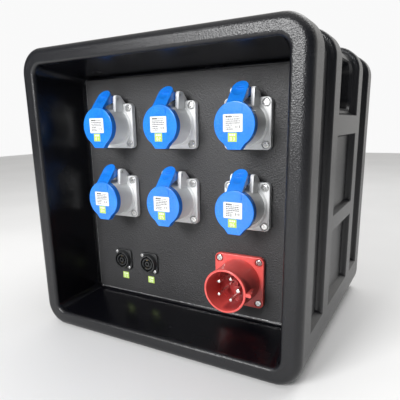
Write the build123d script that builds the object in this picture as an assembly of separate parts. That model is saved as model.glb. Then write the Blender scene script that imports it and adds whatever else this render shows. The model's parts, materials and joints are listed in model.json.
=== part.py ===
from build123d import *

import os
from math import cos, radians, sin, tan

# Portable power distribution box: a hollow moulded case with a deep recess in front and behind,
# ribs round its sides and top, and a hand grip in each side. The front panel carries six
# sockets with sprung lids, one five-pin inlet and two round link connectors.
#
# Frame: X to the right, Y from the front to the back, Z up. The origin is the centre of the base.
# All lengths are in millimetres. Each fixture is drawn in its own frame (across, up, outwards),
# whose zero is the front face of the panel at the fixture's centre.

# ---- case ------------------------------------------------------------------------------------
CASE_WIDTH = 427.0
CASE_DEPTH = 394.0
CASE_HEIGHT = 425.0
CASE_CORNER = 36.0
RIM_ROUNDING = 11.0
SKIN = 6.0
HALF_WIDTH = CASE_WIDTH / 2
HALF_DEPTH = CASE_DEPTH / 2

RECESS_CENTRE_Z = 213.0
RECESS_MOUTH = (376.0, 378.0)
RECESS_MOUTH_CORNER = 14.0
RECESS_FLOOR = (350.0, 352.0)
RECESS_FLOOR_CORNER = 10.0
RECESS_DEPTH = 91.0
RECESS_MOUTH_ROUNDING = 5.0
RECESS_FLOOR_ROUNDING = 4.0
LEDGE_OPENING = (318.0, 320.0)
LEDGE_CORNER = 10.0

# Grooves that run up one side, over the top and down the other side
GROOVE_DEPTH = 9.0
GROOVE_DRAFT = 12.0
GROOVE_ROUNDING = 4.0
GROOVE_FOOT_Z = 62.0
GROOVE_START_Z = 30.0
FOOT_RISE = 7.0
MOUTH_SINK = 1.0
MOUTH_REACH = 6.0
MOUTH_SLOPE = 20.0
RIM_BAND = 42.0
OUTER_GROOVE_WIDTH = 57.0
RIB_WIDTH = 35.0
CHANNEL_HALF = HALF_DEPTH - RIM_BAND - OUTER_GROOVE_WIDTH - RIB_WIDTH

# Cross bars in the middle channel, by the heights of their lower and upper edges
CROSS_BARS = ((171.0, 192.0), (298.0, 324.0))
BAR_DRAFT = 20.0

GRIP_SIZE = (112.0, 66.0)
GRIP_CORNER = 16.0
GRIP_Z = 366.0
GRIP_DEPTH = 38.0
GRIP_TAPER = 5.0
GRIP_MOUTH_FLARE = 4.0

# ---- panels and their fixings ----------------------------------------------------------------
PANEL_SIZE = (343.0, 345.0)
PANEL_THICKNESS = 3.0
PANEL_CORNER = 7.0
PANEL_EDGE_ROUNDING = 0.8
FRONT_PANEL_Y = -HALF_DEPTH + RECESS_DEPTH - PANEL_THICKNESS
FIXING_X = 165.0
FIXING_Z = 166.0
STUD_R = 2.5
STUD_LENGTH = 15.0
STUD_CLEARANCE = 0.2
M5_NUT_WIDTH = 8.0
M5_NUT_THICKNESS = 4.0
INSERT_R = 3.5
M5_HEAD_R = 4.7
M5_HEAD_HEIGHT = 3.2
M5_SCREW_LENGTH = 14.0

# ---- sockets ---------------------------------------------------------------------------------
SOCKET_COLUMNS = (-108.5, 0.5, 109.5)
SOCKET_ROWS = (315.0, 207.0)
GASKET = 1.0
SOCKET_FLANGE = 65.5
SOCKET_FLANGE_CORNER = 6.0
SOCKET_FLANGE_TOP = 8.5
SOCKET_FIXING = 26.0
FLANGE_EDGE_ROUNDING = 1.4
BASE_RING_R = 30.5
BASE_RING_TOP = 10.5
COLLAR_R = 26.7
COLLAR_BORE_R = 22.4
COLLAR_TOP = 40.0
CARRIER_R = 18.6
CARRIER_TOP = 33.0
CARRIER_BACK = -30.0
CARRIER_SHOULDER = 6.0
REAR_TUBE_R = 24.4
SLIP = 0.2
KEYWAY_WIDTH = 8.0
KEYWAY_DEPTH = 2.2

CONTACT_CIRCLE_R = 9.6
CONTACT_ANGLES = (-90.0, 30.0, 150.0)
CONTACT_BORES = (3.6, 2.6, 2.6)
CONTACT_WALL = 0.8
CONTACT_LENGTH = 40.0
CONTACT_MOUTH = 28.0
CONTACT_BORE_DEPTH = 24.0

EAR_INNER = 11.5
EAR_OUTER = 16.5
HINGE_UP = 39.5
HINGE_OUT = 19.5
# Side view of an ear, by height above the socket's centre and distance out from the panel
EAR_PROFILE = (
    (14.0, GASKET),
    (32.6, GASKET),
    (43.6, 12.6),
    (44.4, 16.0),
    (44.4, 21.5),
    (42.0, 24.2),
    (20.0, 26.5),
    (14.0, 26.5),
)
PIN_R = 2.0
PIN_HALF = 14.0
PIN_FIT = 0.02
PIN_CLEARANCE = 0.06

# ---- socket lids -----------------------------------------------------------------------------
LID_R = 27.4
LID_BACK = 40.3
LID_FRONT = 49.0
LID_EDGE_ROUNDING = 1.2
LID_POCKET_R = 25.6
LID_POCKET_TOP = 46.0
SEAL_GUIDE_R = 21.6
SEAL_GUIDE_BACK = 40.8
LID_RIB = 1.6
LIP_TOP_HALF = 17.0
LIP_BOTTOM_HALF = 8.8
LIP_TOP_UP = -20.0
LIP_BOTTOM_UP = -30.6
ARM_WIDTH = 21.4
ARM_FOOT_UP = 24.2
ARM_TILT = 47.5
ARM_LENGTH = 37.2
ARM_THICKNESS = 4.2
CHEEK_THICKNESS = 4.0
CHEEK_INSET = 0.2
KNUCKLE_R = 4.6
# Side view of the walls under the arm, in the same terms
CHEEK_PROFILE = (
    (26.2, LID_BACK),
    (26.2, LID_FRONT - 3.6),
    (43.0, 28.0),
    (HINGE_UP + KNUCKLE_R, HINGE_OUT + 1.0),
    (HINGE_UP, HINGE_OUT - 1.0),
    (HINGE_UP - KNUCKLE_R + 0.4, HINGE_OUT),
    (28.6, LID_BACK),
)
PAD_RISE = 0.6
PAD_FOOT_UP = 14.5
SCOOP_R = 26.0
SCOOP_SINK = 1.5
SCOOP_ALONG = 22.0
THUMB_RIDGES = 3
RIDGE_STEP = 3.0
RIDGE_LENGTH = 10.5
RIDGE_WIDTH = 1.2
RIDGE_RISE = 0.4
SEAL_INNER_R = 22.0
SEAL_OUTER_R = 25.4
LABEL_THICKNESS = 0.25
RATING_LABEL = (26.0, 21.0)
RATING_LABEL_AT = (-1.5, 1.5)
TAG = (12.0, 11.0)
TAG_AT = (-2.0, -15.4)
LABEL_CORNER = 1.4
TAG_CORNER = 0.4

SPRING_WIRE_R = 0.4
SPRING_R = 3.3
SPRING_PITCH = 1.3
SPRING_HALF = 2.6

# ---- cross-head screws of the fixtures -------------------------------------------------------
M4_R = 2.0
M4_HOLE_R = 2.2
M4_HEAD_R = 4.7
M4_HEAD_HEIGHT = 3.0
M4_SEAT = 5.5
M4_RECESS_R = 5.8
M4_TAIL = -7.4
M4_NUT_WIDTH = 7.0
M4_NUT_THICKNESS = 3.2
NUT_BACKLASH = 0.1
M3_R = 1.5
M3_HOLE_R = 1.7
M3_HEAD_R = 2.9
M3_HEAD_HEIGHT = 2.0
M3_NUT_WIDTH = 5.5
M3_NUT_THICKNESS = 2.4
CROSS_WIDTH = 0.9
CROSS_SPAN = 0.62
CROSS_DEPTH = 0.55
HEAD_ROUNDING = 0.45

# ---- five-pin inlet --------------------------------------------------------------------------
INLET_X = 98.0
INLET_Z = 98.0
INLET_FLANGE = 75.0
INLET_FLANGE_CORNER = 8.0
INLET_FLANGE_TOP = 7.0
INLET_FIXING = 30.0
INLET_SEAT = 4.2
SHROUD_BASE_R = 32.0
SHROUD_NECK_R = 29.6
SHROUD_RIM_R = 30.8
SHROUD_BORE_R = 27.8
SHROUD_TOP = 53.8
RIM_RING_HEIGHT = 5.0
RIM_RING_ROUNDING = 1.25
INLET_REAR_R = 28.0
INLET_REAR_BACK = -30.0
INLET_CARRIER_R = 24.0
INLET_CARRIER_BACK = -38.0
INLET_SHOULDER = 12.0
INLET_FLOOR = 16.0
INLET_PIN_CIRCLE_R = 15.7
INLET_PIN_TOP = 45.0
INLET_PIN_R = 2.5
INLET_EARTH_R = 3.5
INLET_PINS = 5
PIN_TIP_ROUNDING = 0.5  # as a share of the pin's radius
INLET_RIDGE_R = (4.2, 5.6)
INLET_RIDGE_HEIGHT = 5.0
INLET_RIDGE_GAP = (14.0, 7.0)
INLET_RIDGE_GAP_AT = (-6.0, -4.0)
INLET_BLOCK = (9.0, 12.0)
INLET_BLOCK_AT = (4.5, -9.0)
INLET_BLOCK_HEIGHT = 6.0
INLET_BLOCK_CORNER = 1.0
LUG_WIDTH = 5.0
LUG_CORNER = 2.0
LUG_BLOCK = (9.0, 33.5)  # length across and distance from the axis
LUG_RIB = (6.0, 31.0)
LUG_RIB_FOOT = 33.0
LUG_BLOCK_FOOT = 45.0
LUG_SINK = 0.6

# ---- round link connectors -------------------------------------------------------------------
LINK_COLUMNS = (-114.5, -62.2)
LINK_Z = 98.4
LINK_FLANGE = (33.0, 34.0)
LINK_FLANGE_CORNER = 6.0
LINK_FLANGE_TOP = 3.2
LINK_FIXING = (-12.0, 12.5)
LINK_BODY_R = 16.0
LINK_RING_R = 14.0
LINK_BORE_R = 11.9
LINK_TOP = 9.0
LINK_BACK = -22.0
LINK_REAR_R = 13.0
LINK_CORE_R = 9.4
LINK_CORE_TOP = 8.2
LINK_WELL_R = 7.6
LINK_POST_R = 4.2
LINK_EYE_R = 2.2
LINK_WELL_DEPTH = 7.0
LINK_KEY = (3.0, 2.4)
LINK_KEY_CORNER = 0.4
LINK_FLANGE_ROUNDING = 1.0
LINK_STEP = 6.0
LINK_NOTCH = (2.6, 3.4)
LINK_NOTCH_ANGLES = (45, 225)
LINK_BLADE = (0.8, 3.0, 2.6)
LINK_BLADE_ANGLES = (0, 120, 240)
LINK_TAG_AT = (1.0, -29.0)

# ---- rail, terminals and wiring inside -------------------------------------------------------
RAIL_Z = 154.0
RAIL_Y = -1.0
RAIL_LENGTH = 314.0
RAIL_WIDTH = 35.0
RAIL_CROWN = 25.0
RAIL_SHEET = 1.2
RAIL_RISE = 7.5
BRACKET_X = 147.0
BRACKET_WIDTH = 24.0
BRACKET_SHEET = 2.0
BRACKET_FOOT = 20.0
TERMINAL_PITCH = 12.0
TERMINAL_WIDTH = 10.0
TERMINAL_COUNT = 9
TERMINAL_FIRST_X = -60.0
TERMINAL_HEIGHT = 46.0
TERMINAL_BASE_Y = RAIL_Y + RAIL_RISE
TERMINAL_TOP_Y = 46.0
TERMINAL_CHAMFER = 3.0
TERMINAL_WELL_R = 3.0
TERMINAL_WELL_DEPTH = 6.0
END_STOP_WIDTH = 7.0
END_STOP_TOP_Y = 34.0
END_STOP_WELL_R = 2.1
EARTH_TERMINAL_XS = (-84.0, -72.0, 48.0)
END_STOP_XS = (-95.0, 59.0)
CABLE_R = 3.6
FEED_R = 2.2
CABLE_BEND = 7.0
FEED_BEND = 4.0
CABLE_ENTRY_Y = 28.0
CABLE_STRAIGHT = 20.0
FEED_ENTRY_Y = 32.0
FEED_STRAIGHT = 14.0
# Each row of outlets: how far above the terminals its cables turn, the depth at which each of
# them runs, and the terminal that it ends in
UPPER_ROW = (40.0, (44.0, 53.0, 62.0), (0, 5, 7))
LOWER_ROW = (30.0, (-10.0, -2.0, 6.0), (1, 4, 8))
LINK_ROW = (30.0, (-4.0, -16.0), (0, 1))
FEED_TURN = 24.0
FEED_FIRST_LANE = -16.0
FEED_LANE_STEP = 9.0

ON_BASE = (Align.CENTER, Align.CENTER, Align.MIN)
TOUCH = 0.01
PAST = 1.0  # how far a cutting shape runs past the face that it opens


# ---- shapes used in several places -----------------------------------------------------------
def outline(size, corner, y, centre_z=RECESS_CENTRE_Z):
    """Upright rounded rectangle at depth y."""
    plane = Plane(origin=(0, y, centre_z), x_dir=(1, 0, 0), z_dir=(0, 1, 0))
    return plane * RectangleRounded(size[0], size[1], corner)


def slab(size, corner, y_from, y_to, centre_z=RECESS_CENTRE_Z):
    """Upright rounded block between two depths."""
    return extrude(outline(size, corner, y_from, centre_z), amount=y_to - y_from)


def grown(size, step):
    """A size, larger by step on every side."""
    return (size[0] + 2 * step, size[1] + 2 * step)


def rod(radius, low, high, across=0.0, up=0.0):
    """Round bar that stands outwards in a fixture's frame."""
    return Pos(across, up, low) * Cylinder(radius, high - low, align=ON_BASE)


def tile(size, corner, low, high, across=0.0, up=0.0):
    """Rounded plate in a fixture's frame."""
    return Pos(across, up, low) * extrude(RectangleRounded(size[0], size[1], corner), amount=high - low)


def bar_across(points, low, high):
    """Prism that runs across a fixture, from an outline of (up, outwards) points."""
    side_view = Plane(origin=(low, 0, 0), x_dir=(0, 1, 0), z_dir=(1, 0, 0))
    return extrude(side_view * make_face(Polyline(*points, close=True)), amount=high - low)


def hex_nut(width, thickness, bore_r, top):
    """Hexagon nut whose outer face is at top, in a fixture's frame."""
    blank = extrude(RegularPolygon(width / 2, 6, major_radius=False), amount=-thickness)
    return Pos(0, 0, top) * blank - rod(bore_r, top - 2 * thickness, top + thickness)


def cross_head_screw(shank_r, head_r, head_height, seat, tail):
    """Pan-head screw whose head sits on seat and whose shank ends at tail."""
    head = rod(head_r, seat, seat + head_height)
    head = fillet(head.edges().sort_by(Axis.Z)[-1], head_height * HEAD_ROUNDING)
    slot_depth = head_height * CROSS_DEPTH
    for turn in (45, 135):
        slot = Pos(0, 0, seat + head_height) * Rot(0, 0, turn) * Box(
            head_r * 2 * CROSS_SPAN, CROSS_WIDTH, 2 * slot_depth
        )
        head -= slot
    return head + rod(shank_r, tail, seat)


def fixture_at(x, z):
    """Place of a fixture's frame on the front panel."""
    return Plane(origin=(x, FRONT_PANEL_Y, z), x_dir=(1, 0, 0), z_dir=(0, -1, 0)).location


def corner_points(reach_x, reach_z, middle=True):
    """Fixing points round a panel: its corners and the middles of its sides."""
    steps = (-1, 0, 1) if middle else (-1, 1)
    return [(i * reach_x, j * reach_z) for i in steps for j in steps if (i, j) != (0, 0)]


def turn_round(centre, radius, degrees_round):
    """Point on a circle."""
    return (
        centre[0] + radius * cos(radians(degrees_round)),
        centre[1] + radius * sin(radians(degrees_round)),
    )


SOCKETS = [(x, z) for z in SOCKET_ROWS for x in SOCKET_COLUMNS]
SOCKET_CORNERS = corner_points(SOCKET_FIXING, SOCKET_FIXING, middle=False)
INLET_CORNERS = corner_points(INLET_FIXING, INLET_FIXING, middle=False)
LINK_CORNERS = [LINK_FIXING, (-LINK_FIXING[0], -LINK_FIXING[1])]
INLETS = [(INLET_X, INLET_Z)]
LINKS = [(x, LINK_Z) for x in LINK_COLUMNS]
LEDGE_POINTS = corner_points(FIXING_X, FIXING_Z)


# ---- case ------------------------------------------------------------------------------------
def recess():
    """Space of the front recess, down to the ledge."""
    mouth = outline(RECESS_MOUTH, RECESS_MOUTH_CORNER, -HALF_DEPTH)
    floor = outline(RECESS_FLOOR, RECESS_FLOOR_CORNER, -HALF_DEPTH + RECESS_DEPTH)
    space = loft([mouth, floor], ruled=True)
    return fillet(space.faces().sort_by(Axis.Y)[-1].edges(), RECESS_FLOOR_ROUNDING)


def recess_backing():
    """Outside of the skin round the front recess, as seen from within the case."""
    mouth = outline(grown(RECESS_MOUTH, SKIN), RECESS_MOUTH_CORNER + SKIN, -HALF_DEPTH)
    floor_y = -HALF_DEPTH + RECESS_DEPTH + SKIN
    floor = outline(grown(RECESS_FLOOR, SKIN), RECESS_FLOOR_CORNER + SKIN, floor_y)
    return loft([mouth, floor], ruled=True)


def groove(y_front, y_back):
    """Space of a groove that wraps over the case between two depths."""
    floor_x = HALF_WIDTH - GROOVE_DEPTH
    mouth_x = HALF_WIDTH - MOUTH_SINK
    reach_x = HALF_WIDTH + MOUTH_REACH
    lean = GROOVE_DEPTH * tan(radians(GROOVE_DRAFT))
    spread = (MOUTH_REACH + MOUTH_SINK) / tan(radians(MOUTH_SLOPE))
    section = make_face(
        Polyline(
            (reach_x, y_front - spread),
            (mouth_x, y_front),
            (floor_x, y_front + lean),
            (floor_x, y_back - lean),
            (mouth_x, y_back),
            (reach_x, y_back + spread),
            close=True,
        )
    )
    section = fillet([v for v in section.vertices() if v.X < HALF_WIDTH], GROOVE_ROUNDING)
    middle = (y_front + y_back) / 2
    top_z = CASE_HEIGHT - GROOVE_DEPTH
    route = FilletPolyline(
        (floor_x, middle, GROOVE_START_Z),
        (floor_x, middle, top_z),
        (-floor_x, middle, top_z),
        (-floor_x, middle, GROOVE_START_Z),
        radius=CASE_CORNER - GROOVE_DEPTH,
    )
    space = sweep(Plane.XY.offset(GROOVE_START_Z) * section, path=route)
    return space - both_sides(foot_ramp())


def both_sides(part):
    """A shape on the right, and its mirror image on the left."""
    return part + mirror(part, about=Plane.YZ)


def along_case(points):
    """Prism along the whole depth of the case, from an outline of (x, z) points."""
    return extrude(Plane.XZ * make_face(Polyline(*points, close=True)), amount=HALF_DEPTH, both=True)


def foot_ramp():
    """Solid below the sloping lower end of the grooves on the right."""
    slope = FOOT_RISE / GROOVE_DEPTH
    inner_x = HALF_WIDTH - 3 * GROOVE_DEPTH
    outer_x = HALF_WIDTH + 3 * GROOVE_DEPTH
    return along_case(
        (
            (inner_x, 0),
            (outer_x, 0),
            (outer_x, GROOVE_FOOT_Z - slope * (outer_x - HALF_WIDTH)),
            (inner_x, GROOVE_FOOT_Z + slope * (HALF_WIDTH - inner_x)),
        )
    )


def cross_bar(low, high):
    """Bar across the middle channel on the right, with sloping upper and lower faces."""
    inner_x = HALF_WIDTH - 2 * GROOVE_DEPTH
    outer_x = HALF_WIDTH + GROOVE_DEPTH
    slope = tan(radians(BAR_DRAFT))
    wide = slope * (HALF_WIDTH - inner_x)
    narrow = slope * (outer_x - HALF_WIDTH)
    return along_case(
        (
            (inner_x, low - wide),
            (outer_x, low + narrow),
            (outer_x, high - narrow),
            (inner_x, high + wide),
        )
    )


def grip_outline(x, step):
    """Upright rounded rectangle of the right-hand grip at one x, grown by step."""
    plane = Plane(origin=(x, 0, GRIP_Z), x_dir=(0, 1, 0), z_dir=(1, 0, 0))
    size = grown(GRIP_SIZE, step)
    return plane * RectangleRounded(size[0], size[1], GRIP_CORNER + step)


def grip_space():
    """Space of the right-hand grip, with a flared mouth."""
    mouth_x = HALF_WIDTH - GROOVE_DEPTH
    inner_x = mouth_x - GRIP_DEPTH
    pocket = loft([grip_outline(inner_x, -GRIP_TAPER), grip_outline(mouth_x, 0)], ruled=True)
    pocket = fillet(pocket.faces().sort_by(Axis.X)[0].edges(), GRIP_TAPER)
    flare_from = grip_outline(mouth_x - GRIP_MOUTH_FLARE, -TOUCH)
    flare_to = grip_outline(mouth_x + GRIP_MOUTH_FLARE / 2, GRIP_MOUTH_FLARE)
    return pocket + loft([flare_from, flare_to], ruled=True)


def grip_backing():
    """Outside of the skin round the right-hand grip, as seen from within the case."""
    mouth_x = HALF_WIDTH - GROOVE_DEPTH
    inner_x = mouth_x - GRIP_DEPTH - SKIN
    return loft([grip_outline(inner_x, SKIN - GRIP_TAPER), grip_outline(mouth_x, 2 * SKIN)], ruled=True)


def case_cavity():
    """Hollow inside the case: between the grooves, within the ribs and behind both recesses."""
    centre_z = CASE_HEIGHT / 2
    whole = (CASE_WIDTH - 2 * SKIN, CASE_HEIGHT - 2 * SKIN)
    whole_corner = CASE_CORNER - SKIN
    core_width = CASE_WIDTH - 2 * GROOVE_DEPTH - 2 * SKIN
    core_height = CASE_HEIGHT - GROOVE_DEPTH - 2 * SKIN
    core_corner = CASE_CORNER - GROOVE_DEPTH - SKIN
    depth = HALF_DEPTH - SKIN
    cavity = slab((core_width, core_height), core_corner, -depth, depth, SKIN + core_height / 2)
    rib_back = CHANNEL_HALF + RIB_WIDTH
    ribs = (
        (-depth, -HALF_DEPTH + RIM_BAND - SKIN),
        (-rib_back + SKIN, -CHANNEL_HALF - SKIN),
        (CHANNEL_HALF + SKIN, rib_back - SKIN),
        (HALF_DEPTH - RIM_BAND + SKIN, depth),
    )
    for y_from, y_to in ribs:
        cavity += slab(whole, whole_corner, y_from, y_to, centre_z)
    foot = slab(whole, whole_corner, -depth, depth, centre_z)
    cavity += foot & Box(CASE_WIDTH, CASE_DEPTH, 2 * (GROOVE_FOOT_Z - SKIN))
    backing = recess_backing()
    cavity -= backing
    cavity -= mirror(backing, about=Plane.XZ)
    return cavity - both_sides(grip_backing())


def case_body():
    block = slab((CASE_WIDTH, CASE_HEIGHT), CASE_CORNER, -HALF_DEPTH, HALF_DEPTH, CASE_HEIGHT / 2)
    rims = [e for e in block.edges() if abs(abs(e.center().Y) - HALF_DEPTH) < TOUCH]
    block = fillet(rims, RIM_ROUNDING)
    front_recess = recess()
    block -= front_recess
    block -= mirror(front_recess, about=Plane.XZ)
    block = fillet([e for e in block.edges() if on_recess_mouth(e)], RECESS_MOUTH_ROUNDING)
    rib_back = CHANNEL_HALF + RIB_WIDTH
    outer_groove = groove(-rib_back - OUTER_GROOVE_WIDTH, -rib_back)
    block -= outer_groove
    block -= mirror(outer_groove, about=Plane.XZ)
    channel = groove(-CHANNEL_HALF, CHANNEL_HALF)
    for low, high in CROSS_BARS:
        channel -= both_sides(cross_bar(low, high))
    block -= channel
    block -= both_sides(grip_space())
    block -= case_cavity()
    block -= slab(LEDGE_OPENING, LEDGE_CORNER, -HALF_DEPTH, HALF_DEPTH)
    ledge_y = HALF_DEPTH - RECESS_DEPTH
    for x, dz in LEDGE_POINTS:
        hole = Pos(x, 0, RECESS_CENTRE_Z + dz) * Rot(90, 0, 0)
        block -= Pos(0, -ledge_y, 0) * hole * Cylinder(STUD_R + STUD_CLEARANCE, 4 * SKIN)
        block -= Pos(0, ledge_y, 0) * hole * Cylinder(INSERT_R, 4 * SKIN)
    return block


def on_recess_mouth(edge):
    """Whether an edge belongs to the mouth of the front or the rear recess."""
    middle = edge.center()
    return (
        abs(abs(middle.Y) - HALF_DEPTH) < TOUCH
        and abs(middle.X) < RECESS_MOUTH[0] / 2 + PAST
        and abs(middle.Z - RECESS_CENTRE_Z) < RECESS_MOUTH[1] / 2 + PAST
    )


# ---- panels ----------------------------------------------------------------------------------
def plain_panel():
    """Sheet in the front recess, with its front edge rounded."""
    sheet = slab(PANEL_SIZE, PANEL_CORNER, FRONT_PANEL_Y, FRONT_PANEL_Y + PANEL_THICKNESS)
    return fillet(sheet.faces().sort_by(Axis.Y)[0].edges(), PANEL_EDGE_ROUNDING)


def front_panel():
    sheet = plain_panel()
    deep = 4 * PANEL_THICKNESS
    for x, z in SOCKETS:
        holes = rod(REAR_TUBE_R + 2 * SLIP, -deep, deep)
        for across, up in SOCKET_CORNERS:
            holes += rod(M4_HOLE_R, -deep, deep, across, up)
        sheet -= fixture_at(x, z) * holes
    holes = rod(INLET_REAR_R + 2 * SLIP, -deep, deep)
    for across, up in INLET_CORNERS:
        holes += rod(M4_HOLE_R, -deep, deep, across, up)
    sheet -= fixture_at(INLET_X, INLET_Z) * holes
    for x, z in LINKS:
        holes = rod(LINK_REAR_R + 2 * SLIP, -deep, deep)
        for across, up in LINK_CORNERS:
            holes += rod(M3_HOLE_R, -deep, deep, across, up)
        sheet -= fixture_at(x, z) * holes
    return sheet


def panel_studs():
    """Studs welded to the back of the front panel: round the ledge, and two for the rail brackets."""
    back = -PANEL_THICKNESS
    places = [(x, RECESS_CENTRE_Z + dz) for x, dz in LEDGE_POINTS]
    places += [(side * BRACKET_X, RAIL_Z) for side in (-1, 1)]
    return Part() + [fixture_at(x, z) * rod(STUD_R, back - STUD_LENGTH, back) for x, z in places]


def panel_nuts():
    nuts = Part()
    bore = STUD_R + NUT_BACKLASH
    for x, dz in LEDGE_POINTS:
        nut = hex_nut(M5_NUT_WIDTH, M5_NUT_THICKNESS, bore, -PANEL_THICKNESS - SKIN)
        nuts += fixture_at(x, RECESS_CENTRE_Z + dz) * nut
    for side in (-1, 1):
        nut = hex_nut(M5_NUT_WIDTH, M5_NUT_THICKNESS, bore, -PANEL_THICKNESS - BRACKET_SHEET)
        nuts += fixture_at(side * BRACKET_X, RAIL_Z) * nut
    return nuts


def rear_frame(x, dz):
    """Place of a fixing on the rear panel's outer face, pointing backwards."""
    return Plane(
        origin=(x, -FRONT_PANEL_Y, RECESS_CENTRE_Z + dz), x_dir=(-1, 0, 0), z_dir=(0, 1, 0)
    ).location


def rear_panel():
    sheet = mirror(plain_panel(), about=Plane.XZ)
    for x, dz in LEDGE_POINTS:
        sheet -= rear_frame(x, dz) * rod(STUD_R + STUD_CLEARANCE, -2 * PANEL_THICKNESS, PANEL_THICKNESS)
    return sheet


def rear_panel_screws():
    screw = cross_head_screw(STUD_R, M5_HEAD_R, M5_HEAD_HEIGHT, 0, -M5_SCREW_LENGTH)
    return Part() + [rear_frame(x, dz) * screw for x, dz in LEDGE_POINTS]


def rear_inserts():
    back = -PANEL_THICKNESS - SKIN
    insert = rod(INSERT_R, back, -PANEL_THICKNESS) - rod(STUD_R + NUT_BACKLASH, 2 * back, SKIN)
    return Part() + [rear_frame(x, dz) * insert for x, dz in LEDGE_POINTS]


# ---- sockets ---------------------------------------------------------------------------------
def flange_with_seats(side, corner, top, points, seat):
    """Square flange with rounded front edges and sunken seats for its screws."""
    plate = tile((side, side), corner, GASKET, top)
    plate = fillet(plate.faces().sort_by(Axis.Z)[-1].edges(), FLANGE_EDGE_ROUNDING)
    for across, up in points:
        plate -= rod(M4_RECESS_R, seat, top + PAST, across, up)
        plate -= rod(M4_HOLE_R, 0, seat + PAST, across, up)
    return plate


def hinge_ears():
    """The two upright plates that hold the lid's pin."""
    right = bar_across(EAR_PROFILE, EAR_INNER, EAR_OUTER)
    return right + bar_across(EAR_PROFILE, -EAR_OUTER, -EAR_INNER)


def hinge_bar(radius, half_length):
    """Round bar on the hinge axis."""
    return Pos(0, HINGE_UP, HINGE_OUT) * Rot(0, 90, 0) * Cylinder(radius, 2 * half_length)


def socket_housing():
    body = flange_with_seats(
        SOCKET_FLANGE, SOCKET_FLANGE_CORNER, SOCKET_FLANGE_TOP, SOCKET_CORNERS, M4_SEAT
    )
    ring = rod(BASE_RING_R, M4_SEAT, BASE_RING_TOP)
    ring = chamfer(ring.edges().sort_by(Axis.Z)[-1], BASE_RING_TOP - SOCKET_FLANGE_TOP)
    for across, up in SOCKET_CORNERS:
        ring -= rod(M4_RECESS_R, 0, BASE_RING_TOP + PAST, across, up)
    body += ring
    body += hinge_ears()
    body += rod(COLLAR_R, M4_SEAT, COLLAR_TOP)
    body += rod(REAR_TUBE_R, CARRIER_BACK, M4_SEAT)
    body -= rod(COLLAR_BORE_R, CARRIER_SHOULDER, COLLAR_TOP + PAST)
    keyway_up = -(COLLAR_BORE_R + KEYWAY_DEPTH / 2)
    body -= Pos(0, keyway_up, CARRIER_SHOULDER) * Box(
        KEYWAY_WIDTH, 2 * KEYWAY_DEPTH, COLLAR_TOP, align=ON_BASE
    )
    body -= rod(CARRIER_R + SLIP, CARRIER_BACK - PAST, CARRIER_SHOULDER + PAST)
    return body - hinge_bar(PIN_R + PIN_FIT, EAR_OUTER + PAST)


def contact_places():
    """Bore radius and place of each contact in a socket."""
    return [
        (bore, turn_round((0, 0), CONTACT_CIRCLE_R, angle))
        for bore, angle in zip(CONTACT_BORES, CONTACT_ANGLES)
    ]


def socket_insert():
    carrier = rod(CARRIER_R, CARRIER_BACK, CARRIER_TOP)
    carrier = chamfer(carrier.edges().sort_by(Axis.Z)[-1], CONTACT_WALL)
    for bore, (across, up) in contact_places():
        sleeve_bottom = CONTACT_MOUTH - CONTACT_LENGTH
        carrier -= rod(bore + CONTACT_WALL, sleeve_bottom, CONTACT_MOUTH, across, up)
        carrier -= rod(bore + CONTACT_WALL / 2, CONTACT_MOUTH - PAST, CARRIER_TOP + PAST, across, up)
    return carrier


def socket_contacts():
    """Contact sleeves of one socket."""
    sleeves = Part()
    for bore, (across, up) in contact_places():
        sleeve = rod(bore + CONTACT_WALL - PIN_FIT, CONTACT_MOUTH - CONTACT_LENGTH, CONTACT_MOUTH, across, up)
        sleeves += sleeve - rod(bore, CONTACT_MOUTH - CONTACT_BORE_DEPTH, CONTACT_MOUTH + PAST, across, up)
    return sleeves


def flange_gasket(side, corner, bore_r, points):
    sheet = tile((side - GASKET, side - GASKET), corner, 0, GASKET) - rod(bore_r + SLIP, -PAST, GASKET + PAST)
    for across, up in points:
        sheet -= rod(M4_HOLE_R, -PAST, GASKET + PAST, across, up)
    return sheet


def arm_frame():
    """Frame on the outer face of the lid's arm: across, along the arm, and off its face."""
    along = (0, sin(radians(ARM_TILT)), -cos(radians(ARM_TILT)))
    off = (0, cos(radians(ARM_TILT)), sin(radians(ARM_TILT)))
    return Plane(origin=(0, ARM_FOOT_UP, LID_FRONT), x_dir=(-1, 0, 0), z_dir=off), along


def lid_arm():
    """Lifting arm: a rounded tongue that leans back over the hinge, on two cheeks."""
    face, along = arm_frame()
    half = ARM_WIDTH / 2
    straight = ARM_LENGTH - half
    way = -1 if face.y_dir.Y < 0 else 1
    outline_points = Pos(0, way * straight / 2) * Rectangle(ARM_WIDTH, straight)
    tongue = outline_points + Pos(0, way * straight) * Circle(half)
    arm = extrude(face * tongue, amount=-ARM_THICKNESS)
    centre = (0, ARM_FOOT_UP + along[1] * SCOOP_ALONG, LID_FRONT + along[2] * SCOOP_ALONG)
    rise = SCOOP_R - SCOOP_SINK
    arm -= Pos(0, centre[1] + face.z_dir.Y * rise, centre[2] + face.z_dir.Z * rise) * Sphere(SCOOP_R)
    for step in range(THUMB_RIDGES):
        reach = straight + half / 2 - RIDGE_STEP * step
        ridge = face * Pos(0, way * reach, RIDGE_RISE) * SlotOverall(RIDGE_LENGTH, RIDGE_WIDTH)
        arm += extrude(ridge, amount=-RIDGE_RISE - SCOOP_SINK)
    return arm


def lid_cheeks():
    """Two side walls under the arm, which end in the knuckles on the hinge pin."""
    half = ARM_WIDTH / 2 - CHEEK_INSET
    cheeks = Part()
    for low, high in ((-half, -half + CHEEK_THICKNESS), (half - CHEEK_THICKNESS, half)):
        cheek = bar_across(CHEEK_PROFILE, low, high)
        knuckle = Pos((low + high) / 2, HINGE_UP, HINGE_OUT) * Rot(0, 90, 0)
        cheeks += cheek + knuckle * Cylinder(KNUCKLE_R, CHEEK_THICKNESS)
    return cheeks


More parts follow.
